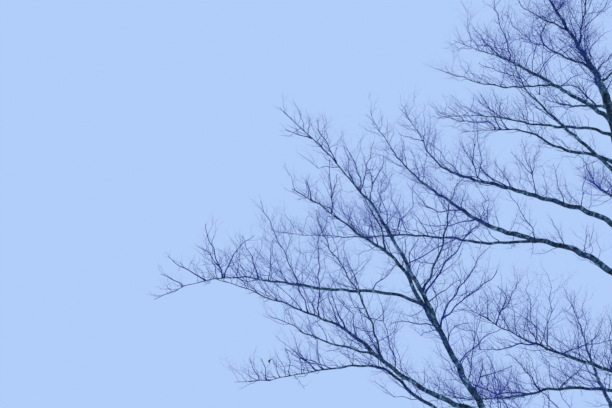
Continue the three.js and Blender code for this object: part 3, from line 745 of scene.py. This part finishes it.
def finer(groups, spacing, most, reach_share, longest, slender, salt):
    """The next finer order on each group of twigs: bent where long, straight where short."""
    found = []
    for parents in groups:
        counts = np.clip((parents.length / spacing).astype(int), 1, most)
        _, share, roots = side_roots(parents, counts, evenly, salt)
        reach = np.minimum(reach_share * roots.reach * (1.15 - 0.5 * share), longest)
        reach *= 0.6 + 0.8 * chance(roots.seed, 5)
        hanging = chance(roots.seed, 6) < HANGING_SHARE
        roots = roots._replace(reach=reach, manner=np.where(hanging[:, None], HANGING, SPUR))
        bends = reach > LONG_ENOUGH_TO_BEND
        for chosen, segments in ((bends, 2), (~bends, 1)):
            grown = grow(picked(roots, chosen), segments, slender)
            found.append(picked(grown, in_the_box(grown)))
    return [group for group in found if len(group.seed)]


third = finer([second], 0.06, 7, 0.62, 0.3, (105, 0.0021), 7)
fourth = finer(third, 0.12, 2, 0.5, 0.09, (68, 0.0017), 13)
orders = [[first], [second], third, fourth]
print("twigs by order:", [sum(len(group.seed) for group in order) for order in orders], "metres:",
      [round(sum(float(group.length.sum()) for group in order)) for order in orders])

# %% [markdown]
# ## Meshes from arrays
# A limb becomes rings of points round its centre line, and a twig a three-sided tapering
# tube, which smooth shading rounds off. Blender can take a whole piece of them as flat
# arrays, which is far quicker than adding faces one at a time, and the result is one plain
# mesh of closed tubes that exports whole.

# %% Turn rings into tubes
def skin(rings, sides):
    """Triangles of a closed tube: its rings in order, then one point for each end."""
    grid = np.arange(rings * sides).reshape(rings, sides)
    a, b = grid[:-1], np.roll(grid, -1, axis=1)[:-1]
    d, c = grid[1:], np.roll(grid, -1, axis=1)[1:]
    low, high = np.full(sides, grid.size), np.full(sides, grid.size + 1)
    return np.concatenate([
        np.stack([a, b, c], -1).reshape(-1, 3), np.stack([a, c, d], -1).reshape(-1, 3),
        np.stack([np.roll(grid[0], -1), grid[0], low], -1),
        np.stack([grid[-1], np.roll(grid[-1], -1), high], -1)])


def tube(limb, shares, sides, bark_radius):
    """A limb's points and triangles, and each point's straightened place and relief."""
    centre, heading = limb.place(shares), limb.heading(shares)
    if shares[0] == 0 and limb is trunk:
        heading[0] = (0, 0, 1)  # its cut lies level
    normal = unit(limb.side - heading * (heading @ limb.side)[:, None])
    binormal = np.cross(heading, normal)
    turn = np.linspace(0, 2 * math.pi, sides, endpoint=False)
    plain = limb.radius_at(shares)[:, None]
    distance = np.broadcast_to((shares * limb.length)[:, None], (len(shares), sides))
    straight = np.stack([plain * np.sin(turn), plain * np.cos(turn), distance], axis=-1)
    radius, relief = bark_radius(straight, plain, turn)
    points = (centre[:, None] + binormal[:, None] * (radius * np.sin(turn))[..., None]
              + normal[:, None] * (radius * np.cos(turn))[..., None])
    points = np.vstack([points.reshape(-1, 3), centre[0], centre[-1]])
    ends = [[0, 0, shares[0] * limb.length], [0, 0, shares[-1] * limb.length]]
    straight = np.vstack([straight.reshape(-1, 3), ends])
    return points, skin(len(shares), sides), straight, np.append(relief.ravel(), [0, 0])


def twig_tubes(twigs):
    """Three-sided closed tubes for all the twigs, as points and triangles."""
    count, rings = len(twigs.seed), twigs.nodes.shape[1] - 1
    heading = unit(np.diff(twigs.nodes, axis=1))
    side = unit(np.cross(heading[:, 0], [0.31, 0.11, 0.94]))[:, None]
    normal = unit(side - heading * (heading * side).sum(-1, keepdims=True))
    binormal = np.cross(heading, normal)
    radius = twigs.radius[:, None] * (1 - 0.75 * np.arange(rings) / rings)
    points = np.empty((count, rings * 3 + 1, 3))
    for corner in range(3):
        turn = 2 * math.pi * corner / 3
        points[:, corner:rings * 3:3] = twigs.nodes[:, :-1] + radius[..., None] * (
            binormal * math.sin(turn) + normal * math.cos(turn))
    points[:, -1] = twigs.nodes[:, -1]
    faces = [(0, 2, 1)]
    for ring in range(rings - 1):
        for corner in range(3):
            a, b = 3 * ring + corner, 3 * ring + (corner + 1) % 3
            faces += [(a, b, b + 3), (a, b + 3, a + 3)]
    top = 3 * (rings - 1)
    faces += [(top + corner, top + (corner + 1) % 3, top + 3) for corner in range(3)]
    faces = np.array(faces)[None] + (np.arange(count) * (rings * 3 + 1))[:, None, None]
    return points.reshape(-1, 3), faces.reshape(-1, 3)


print("a tube of 2 rings with 3 sides has", len(skin(2, 3)), "triangles")

# %% [markdown]
# A piece also stores, for each point, where it would lie if its limb were straight, and how
# deep in the relief it sits. The bark materials read both.

# %% Join parts into one piece
def noise(points, seed):
    """Smooth noise from -1 to 1: a chance value at each corner of a unit grid, blended."""
    cell = np.floor(points).astype(np.int64)
    part = points - cell
    part = part * part * (3 - 2 * part)
    total = 0
    for corner in range(8):
        offset = np.array([corner & 1, corner >> 1 & 1, corner >> 2 & 1])
        key = ((cell + offset) * np.array([73856093, 19349663, 83492791])).sum(-1)
        weight = np.where(offset, part, 1 - part).prod(-1)
        total = total + weight * chance(key, seed)
    return 2 * total - 1


def piece_from(name, parts, materials, node):
    """One piece from parts: points, faces, material number and, for bark, straight and relief."""
    points = np.vstack([part[0] for part in parts])
    starts = np.cumsum([0] + [len(part[0]) for part in parts])
    faces = np.vstack([part[1] + start for part, start in zip(parts, starts)]).astype(np.int32)
    numbers = np.concatenate([np.full(len(part[1]), part[2]) for part in parts])
    straight = [part[3] if len(part) > 3 else np.zeros((len(part[0]), 3)) for part in parts]
    relief = [part[4] if len(part) > 4 else np.zeros(len(part[0])) for part in parts]
    mesh = bpy.data.meshes.new(name)
    mesh.vertices.add(len(points))
    mesh.vertices.foreach_set("co", points.astype(np.float32).ravel())
    mesh.loops.add(faces.size)
    mesh.loops.foreach_set("vertex_index", faces.ravel())
    mesh.polygons.add(len(faces))
    mesh.polygons.foreach_set("loop_start", np.arange(0, faces.size, 3, dtype=np.int32))
    for material in materials:
        mesh.materials.append(material)
    mesh.polygons.foreach_set("material_index", numbers.astype(np.int32))
    mesh.polygons.foreach_set("use_smooth", np.ones(len(faces), bool))
    mesh.attributes.new("straightened", "FLOAT_VECTOR", "POINT").data.foreach_set(
        "vector", np.vstack(straight).astype(np.float32).ravel())
    mesh.attributes.new("relief", "FLOAT", "POINT").data.foreach_set(
        "value", np.concatenate(relief).astype(np.float32))
    mesh.update(calc_edges=True)
    mesh.validate()
    piece = bpy.data.objects.new(name, mesh)
    bpy.context.scene.collection.objects.link(piece)
    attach(piece, "root")
    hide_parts(node)
    return len(faces)


print("noise at one point:", round(float(noise(np.array([0.3, 0.4, 0.5]), 1)), 3))

# %% [markdown]
# ## Bark
# The photograph shows smooth grey bark, mottled from end to end with pale blue-green
# lichen, and crossed by short dark bands where the bark has stretched. Low on an old trunk
# the same bark opens into shallow upright furrows. The patterns need to know which way a
# limb runs, so the noise is read at each point's straightened place: stretched across the
# limb for the bands, and even for the lichen. Object coordinates would slant the bands on
# every leaning limb.

# %% Helpers for materials
def add_node(material, kind, settings=None, **inputs):
    """Adds one node, sets its options, and links or sets inputs: by name, or _ and number."""
    made = material.node_tree.nodes.new(kind)
    for option, value in (settings or {}).items():
        setattr(made, option, value)
    for name, value in inputs.items():
        socket = made.inputs[int(name[1:]) if name[1:].isdigit() else name.replace("_", " ")]
        if isinstance(value, bpy.types.NodeSocket):
            material.node_tree.links.new(value, socket)
        else:
            socket.default_value = value
    return made


def set_stops(ramp, *stops):
    """Sets a colour ramp's stops, each a position and a hex colour."""
    elements = ramp.color_ramp.elements
    while len(elements) < len(stops):
        elements.new(0.5)
    for element, (position, colour) in zip(elements, stops):
        element.position, element.color = position, linear(colour)
    return ramp


def new_material(name):
    material = bpy.data.materials.new(name)
    material.use_nodes = True
    return material, material.node_tree.nodes["Principled BSDF"]


print("material helpers ready")

# %% [markdown]
# Grown bark is dry cork: matt, with a weak broad gleam at most. Lichen lies on it as crusts
# in broad patches, paler and just as matt, and the dark bands cross both. Small round lichens
# stand on top as specks, and what sits deep in the relief is darker, as little light gets in.

# %% Make the bark of trunk and boughs
LICHEN_PATCH_MM = 75     # breadth of one patch of lichen
STRETCH_BAND_MM = 28     # height of one dark band; real ones are half that, too fine to show
SPECK_MM = 14            # small round lichens, drawn a little coarse
GRAIN_MM = 7             # the fine roughness of the bark's skin
GRAIN_DEPTH_MM = 4
BAND_STRENGTH, SPECK_STRENGTH = 0.85, 0.12


def lichened_bark(name, dark, middle, pale, furrow):
    """Smooth grown bark under lichen crusts: matt, mottled, darker in bands, with painted shade in
    furrows.
    """
    material, shader = new_material(name)
    straight = add_node(material, "ShaderNodeAttribute",
                        {"attribute_name": "straightened"}).outputs["Vector"]
    relief = add_node(material, "ShaderNodeAttribute",
                      {"attribute_name": "relief"}).outputs["Fac"]
    patches = add_node(material, "ShaderNodeTexNoise", Vector=straight,
                       Scale=1000 / LICHEN_PATCH_MM, Detail=5.0, Roughness=0.62, Distortion=0.4)
    bark = set_stops(add_node(material, "ShaderNodeValToRGB", Fac=patches.outputs["Fac"]),
                     (0.36, dark), (0.47, middle), (0.53, middle), (0.62, pale))
    across = add_node(material, "ShaderNodeMapping", Vector=straight, Scale=(0.3, 0.3, 1.0))
    bands = add_node(material, "ShaderNodeTexNoise", Vector=across.outputs["Vector"],
                     Scale=1000 / STRETCH_BAND_MM, Detail=3.0, Roughness=0.5)
    band_shade = set_stops(add_node(material, "ShaderNodeValToRGB", Fac=bands.outputs["Fac"]),
                           (0.40, "#50565f"), (0.52, "#ffffff"))
    banded = add_node(material, "ShaderNodeMix", {"data_type": "RGBA", "blend_type": "MULTIPLY"},
                      _0=BAND_STRENGTH, _6=bark.outputs["Color"],
                      _7=band_shade.outputs["Color"])
    specks = add_node(material, "ShaderNodeTexVoronoi", {"feature": "F1"}, Vector=straight,
                      Scale=1000 / SPECK_MM, Randomness=1.0)
    speck_mask = set_stops(
        add_node(material, "ShaderNodeValToRGB", Fac=specks.outputs["Distance"]),
        (0.16, "#ffffff"), (0.30, "#000000"))
    speckled = add_node(material, "ShaderNodeMix", {"data_type": "RGBA", "blend_type": "SCREEN"},
                        _0=SPECK_STRENGTH, _6=banded.outputs[2],
                        _7=speck_mask.outputs["Color"])
    # Painted shade: what sits low in the relief, in furrows and between lumps, is made darker by
    # the furrow colour.
    depth = set_stops(add_node(material, "ShaderNodeValToRGB", Fac=relief),
                      (0.0, furrow), (0.45, "#ffffff"))
    shaded = add_node(material, "ShaderNodeMix", {"data_type": "RGBA", "blend_type": "MULTIPLY"},
                      _0=1.0, _6=speckled.outputs[2], _7=depth.outputs["Color"])
    material.node_tree.links.new(shaded.outputs[2], shader.inputs["Base Color"])
    grain = add_node(material, "ShaderNodeTexNoise", Vector=straight, Scale=1000 / GRAIN_MM,
                     Detail=4.0, Roughness=0.6)
    rough = add_node(material, "ShaderNodeMapRange", Value=grain.outputs["Fac"],
                     _3=0.78, _4=0.96)
    material.node_tree.links.new(rough.outputs["Result"], shader.inputs["Roughness"])
    heights = add_node(material, "ShaderNodeMath", {"operation": "ADD"},
                       _0=grain.outputs["Fac"], _1=patches.outputs["Fac"])
    bump = add_node(material, "ShaderNodeBump", Strength=0.5, Distance=GRAIN_DEPTH_MM / 1000,
                    Height=heights.outputs["Value"])
    material.node_tree.links.new(bump.outputs["Normal"], shader.inputs["Normal"])
    shader.inputs["Specular IOR Level"].default_value = 0.25
    return material


# The last colour of each bark is the painted shade deep in its relief.
trunk_bark = lichened_bark("furrowed_trunk_bark", "#1a2838", "#445f70", "#98b8b4", "#5a6068")
bough_bark = lichened_bark("lichened_bough_bark", "#132232", "#3c5c70", "#98bcb8", "#8a9098")
print("materials:", trunk_bark.name, "and", bough_bark.name)

# %% [markdown]
# A twig's bark is one to three years old, smooth, thin and free of lichen. At this distance a
# twig is a pixel wide or less, so a pattern on it would only show as noise, and each has one
# plain colour. Young bark is purple brown; these colours are a deep violet blue, with the cold
# light's blue cast painted in. The sky mixes into so thin a line, so its colour is set stronger
# than it looks. A dead leaf is dry and dull.

# %% Make the bark of twigs and the dead leaf
def plain_skin(name, colour, roughness):
    """A thin smooth skin in one colour, with only a trace of a gleam."""
    material, shader = new_material(name)
    shader.inputs["Base Color"].default_value = linear(colour)
    shader.inputs["Roughness"].default_value = roughness
    shader.inputs["Specular IOR Level"].default_value = 0.12
    return material


# The twig colours are purple-brown bark with a painted cold blue light cast; the leaf's colour is
# its own.
spray_materials = [bough_bark,
                   plain_skin("two_year_twig_bark_painted_cold_light", "#2c3a84", 0.7),
                   plain_skin("young_twig_bark_slate_painted_cold_light", "#4249c4", 0.7),
                   plain_skin("young_twig_bark_plum_painted_cold_light", "#5647bc", 0.7),
                   plain_skin("young_twig_bark_grey_painted_cold_light", "#4556c4", 0.75),
                   plain_skin("dry_curled_leaf", "#462242", 0.85)]
BOUGH_BARK, TWO_YEAR, YOUNG, DRY_LEAF = 0, 1, 2, 5  # their numbers in that list
YOUNG_TONES = 3
print("a spray's materials:", [material.name for material in spray_materials])

# %% [markdown]
# ## The trunk
# The trunk stands on a flared foot with five low ribs that run down into its roots. Its
# furrows are ridged noise stretched upright, deep at the foot and little more than a third
# as deep by four metres up. They move real points, because bump alone would leave the
# trunk's outline smooth.

# %% Work out the trunk's relief
FLARE_SHARE = 0.5
FLARE_HEIGHT = 0.38
RIB_COUNT = 5
RIB_SHARE = 0.16
FURROW_DEPTH_MM = 9
FURROW_WIDTH_MM = 48
FURROW_LENGTH_MM = 330
FURROWS_LAST, FURROWS_FADE_OVER = 0.25, 2.2  # the share of their depth left high up
FULL_FURROWS_RADIUS = 0.12


def trunk_bark_radius(straight, plain, turn):
    """The trunk's radius with flare, ribs, furrows and lumps, and its relief, 0 in a furrow."""
    height = straight[..., 2]
    fade = np.exp(-height / FLARE_HEIGHT)
    ribs = RIB_SHARE * np.cos(RIB_COUNT * turn + 1)[None]
    radius = plain * (1 + fade * (FLARE_SHARE + ribs))
    furrow_scale = np.array([1000 / FURROW_WIDTH_MM, 1000 / FURROW_WIDTH_MM,
                             1000 / FURROW_LENGTH_MM])
    warp = 0.5 * noise(straight * 6, 3)[..., None]
    ridges = 1 - np.abs(noise(straight * furrow_scale + warp, 1)) * 2
    left = FURROWS_LAST + (1 - FURROWS_LAST) * np.exp(-height / FURROWS_FADE_OVER)
    depth = FURROW_DEPTH_MM / 1000 * left * np.minimum(1, plain / FULL_FURROWS_RADIUS)
    lumps = 0.035 * plain * noise(straight * np.array([5, 5, 1.6]), 5)
    fine = 0.0016 * noise(straight * np.array([60, 60, 22]), 9)
    # relief is 0 deep in a furrow, where the bark paints a darker shade.
    relief = np.clip(0.5 - 0.5 * ridges, 0, 1)
    return radius - depth * np.clip(ridges, 0, 1) + lumps + fine, relief


print("furrows", FURROW_DEPTH_MM, "mm deep at the foot, on a radius of", trunk.radius)

# %% [markdown]
# The trunk swells into a collar where a bough leaves it. Each collar is a low round swelling
# about the place where the bough comes out of the bark. The rings of points stand closest
# together at the foot, where the furrows are deepest, and the cut under it stays flat.

# %% Cover the trunk with bark
TRUNK_SIDES = 96
GROUND_GAP = 0.003
COLLAR_HEIGHT, COLLAR_BREADTH = 0.45, 2.4  # beside the bough's radius
wood_end = trunk.wood * trunk.length
RING_SPACINGS = ((0, 1.2, 0.016), (1.2, 4.0, 0.028), (4.0, wood_end, 0.045))


def collar_swell(places, children):
    """How far a limb swells near the roots of the limbs that leave it."""
    swell = np.zeros(places.shape[:-1])
    for child in children:
        leaves_at = child.corners[0] + unit(child.corners[1] - child.corners[0]) * (
            child.parent_radius)
        gap = np.linalg.norm(places - leaves_at, axis=-1)
        swell += COLLAR_HEIGHT * child.radius * np.exp(
            -(gap / (COLLAR_BREADTH * child.radius)) ** 2)
    return swell


trunk_children = [limbs[name] for name, parent, *_ in LIMBS if parent == "trunk"]
heights = np.concatenate([np.arange(*spacing) for spacing in RING_SPACINGS] + [[wood_end]])
shares = heights / trunk.length
points, faces, straight, relief = tube(trunk, shares, TRUNK_SIDES, trunk_bark_radius)
rings = points[:-2].reshape(len(shares), TRUNK_SIDES, 3)
swell = collar_swell(rings, trunk_children)
swell[0] = 0
rings = rings + unit(rings - trunk.place(shares)[:, None]) * swell[..., None]
rings[0, :, 2] = 0
rings[1:, :, 2] = np.maximum(rings[1:, :, 2], GROUND_GAP)  # only the flat cut is on the ground
points[:-2] = rings.reshape(-1, 3)
count = piece_from("bark_trunk", [(points, faces, 0, straight, relief)], [trunk_bark],
                   "trunk")
print("trunk:", count, "triangles, foot radius",
      round(float(np.linalg.norm(rings[0, :, :2], axis=1).max()), 3))

# %% [markdown]
# ## The boughs
# A bough swells where it leaves its parent, because two years' wood overlap there, and its
# skin is lumpy with old twig scars and ringed where it stretched. The swelling is laid over
# the taper of the solid, and the lumps, scars and rings are a few millimetres of noise. They
# stand out from the bark, so between them it lies a little inside the solid's skin.

# %% Cover the boughs with bark
SLIMMER = 0.92  # the bark's radius between lumps, beside the solid's
BOUGH_RING_SPACING = 0.024
FEWEST_SIDES, MOST_SIDES = 14, 28


def bough_bark_radius(limb):
    """The relief of one bough: its collar, lumps, old scars and rings."""
    def bark_radius(straight, plain, turn):
        parent = max(limb.parent_radius, 0.02)
        collar = np.exp(-np.maximum(straight[..., 2] - 0.7 * parent, 0) / (1.1 * parent))
        wide = np.minimum(plain * (1 + 0.6 * collar), np.maximum(plain, 0.85 * parent))
        offset = straight + np.array([limb.seed * 7.31, 0, 0])  # no two boughs look the same
        lumpy = noise(offset * np.array([14, 14, 6.0]), 5)
        lumps = 0.10 * plain * lumpy
        scars = 0.16 * plain * np.clip(noise(offset * np.array([9, 9, 11.0]), 7) - 0.35, 0, 1)
        rings = 0.03 * plain * noise(offset * np.array([6, 6, 48.0]), 9)
        slimmed = wide * (SLIMMER + (1 - SLIMMER) * collar)
        # The second value rises with the lumps; the bark paints the low places between them darker,
        # as shade.
        return slimmed + lumps + scars + rings, 0.5 + 0.5 * lumpy
    return bark_radius


def limb_tube(limb, low, high, sides, spacing, bark_radius=None):
    """A tube over part of a limb, with rings at about the given spacing."""
    rings = max(3, int((high - low) * limb.length / spacing))
    shares = np.linspace(low, high, rings + 1)
    return tube(limb, shares, sides, bark_radius or bough_bark_radius(limb))


total = 0
for name, limb in limbs.items():
    if limb is trunk:
        continue
    sides = int(np.clip(limb.radius * 1000 * 0.5, FEWEST_SIDES, MOST_SIDES))
    points, faces, straight, relief = limb_tube(limb, 0, limb.wood, sides, BOUGH_RING_SPACING)
    total += piece_from(f"bark_{name}", [(points, faces, 0, straight, relief)], [bough_bark],
                        f"bough_{name}")
print("boughs:", total, "triangles")

# %% [markdown]
# ## The dead leaf
# One curled dead leaf hangs on the lowest limb in the photograph. A dead leaf dries from its
# edges and rolls up about its midrib, so it is part of a tube that is wide in the middle and
# narrows to both ends. It is a closed skin, under a millimetre thick.

# %% Shape the dead leaf
LEAF_LENGTH, LEAF_WIDTH, LEAF_CURL = 0.065, 0.036, 1.4
LEAF_HANGS = np.array([-0.3, 0.1, -0.9])
LEAF_BOW = 0.012
LEAF_HALF_SKIN = 0.0004


def dead_leaf(stem):
    """A leaf hung on a twig's tip, as points, triangles and its material's number."""
    rings, across = 9, 7
    share = np.linspace(0, 1, rings)[:, None]
    side = np.concatenate([np.linspace(-1, 1, across), np.linspace(1, -1, across)])
    skin_gap = np.repeat([LEAF_HALF_SKIN, -LEAF_HALF_SKIN], across)
    width = LEAF_WIDTH * np.sin(math.pi * np.clip(share, 0.03, 0.97)) ** 0.8
    rolled = LEAF_CURL * side
    radius = width / LEAF_CURL + skin_gap
    midrib = stem + LEAF_HANGS * LEAF_LENGTH * share
    midrib[:, 0] -= LEAF_BOW * np.sin(math.pi * share[:, 0])
    points = np.stack([midrib[:, :1] - radius * np.cos(rolled), midrib[:, 1:2]
                       + radius * np.sin(rolled), midrib[:, 2:] + 0 * rolled], axis=-1)
    points = np.vstack([points.reshape(-1, 3), midrib[0], midrib[-1]])
    return points, skin(rings, 2 * across), DRY_LEAF


leaf_tip = lines["leaf_twig"].line[-1]
print("the leaf hangs from", leaf_tip.round(2))

# %% [markdown]
# ## The sprays
# A spray's stem runs on from the bough. It thins faster than the solid's, because wood goes
# off into each fan of twigs, and it has the bough's bark and relief. The trunk's own top is
# such a stem too.

# %% Thin the stems
TOP_THINS_OVER = 1.3
TOP_SHARE = 0.62  # the trunk's top is a stem among stems, and thins to this share
STEM_THINS_OVER, STEM_SHARE = 0.7, 0.6  # a stem thins over this share of it, to this share
STEM_SIDES, STEM_RING_SPACING = 10, 0.028
TOP_SIDES, TOP_RINGS = 16, 140


def thinned(bark_radius, start, over, share):
    """A limb's bark, thinning to a share of its radius as twigs take over from it."""
    def thinner_bark_radius(straight, plain, turn):
        radius, relief = bark_radius(straight, plain, turn)
        part = np.clip((straight[..., 2] - start) / over, 0, 1)
        return radius * (1 - (1 - share) * part * part * (3 - 2 * part)), relief
    return thinner_bark_radius


def stem_tube(limb):
    """The part of a limb beyond its bare wood."""
    if limb is trunk:
        return tube(limb, np.linspace(limb.wood, 1, TOP_RINGS), TOP_SIDES,
                    thinned(trunk_bark_radius, wood_end, TOP_THINS_OVER, TOP_SHARE))
    stem_radius = thinned(bough_bark_radius(limb), limb.wood * limb.length,
                          STEM_THINS_OVER * (1 - limb.wood) * limb.length, STEM_SHARE)
    return limb_tube(limb, limb.wood, 1, STEM_SIDES, STEM_RING_SPACING, stem_radius)


print("the trunk's top is", round(trunk.length - wood_end, 2), "m long")

# %% [markdown]
# Each spray is one piece: its stem, its shoots and every twig that grew on them. One object
# for each twig would make the scene slow and the model hard to pass on. Thick shoots keep
# the bough's bark. Thin ones and the twigs of the first order have a two-year twig's bark,
# and all finer twigs take one of three plain colours, dealt out a spray at a time, as the
# shade of young bark differs from shoot to shoot.

# %% Join each limb's stem, shoots and twigs
LICHENED_FROM_RADIUS = 0.0125  # thinner shoots have a twig's bark
STOUT_FROM_RADIUS, STOUT_SIDES, SLIM_SIDES = 0.01, 8, 6
SHOOT_RING_SPACING = 0.035

total = 0
for name, limb in limbs.items():
    points, faces, straight, relief = stem_tube(limb)
    parts = [(points, faces, BOUGH_BARK, straight, relief)]
    for owner, shoot in shoots:
        if owner == name:
            sides = STOUT_SIDES if shoot.radius > STOUT_FROM_RADIUS else SLIM_SIDES
            points, faces, straight, relief = limb_tube(shoot, 0, 1, sides, SHOOT_RING_SPACING)
            bark = BOUGH_BARK if shoot.radius > LICHENED_FROM_RADIUS else TWO_YEAR
            parts.append((points, faces, bark, straight, relief))
    for rank, order in enumerate(orders):
        for group in order:
            mine = picked(group, group.owner == owner_number[name])
            for tone in range(YOUNG_TONES):
                toned = picked(mine, mine.spray // BUD_TO_BUD % YOUNG_TONES == tone)
                if len(toned.seed):
                    bark = TWO_YEAR if rank == 0 else YOUNG + tone
                    parts.append((*twig_tubes(toned), bark))
    if name == owner_of["leaf_twig"]:
        parts.append(dead_leaf(leaf_tip))
    total += piece_from(f"spray_{name}", parts, spray_materials, f"twigs_{name}")
print("sprays:", total, "triangles")

# %% [markdown]
# ## The floor
# A plain pale floor carries the tree in the other views, and sends a little light up under
# the crown. From the photographer's place it is out of the picture.

# %% Lay the floor
FLOOR_COLOUR = "#d3d8de"
FLOOR_RADIUS = 300

bpy.ops.mesh.primitive_circle_add(vertices=128, radius=FLOOR_RADIUS, fill_type="NGON")
floor = bpy.context.object
floor.name = "floor"
floor_paint, shader = new_material("matt_floor_paint")
shader.inputs["Base Color"].default_value = linear(FLOOR_COLOUR)
shader.inputs["Roughness"].default_value = 0.9
floor.data.materials.append(floor_paint)
print("floor", 2 * FLOOR_RADIUS, "m across")
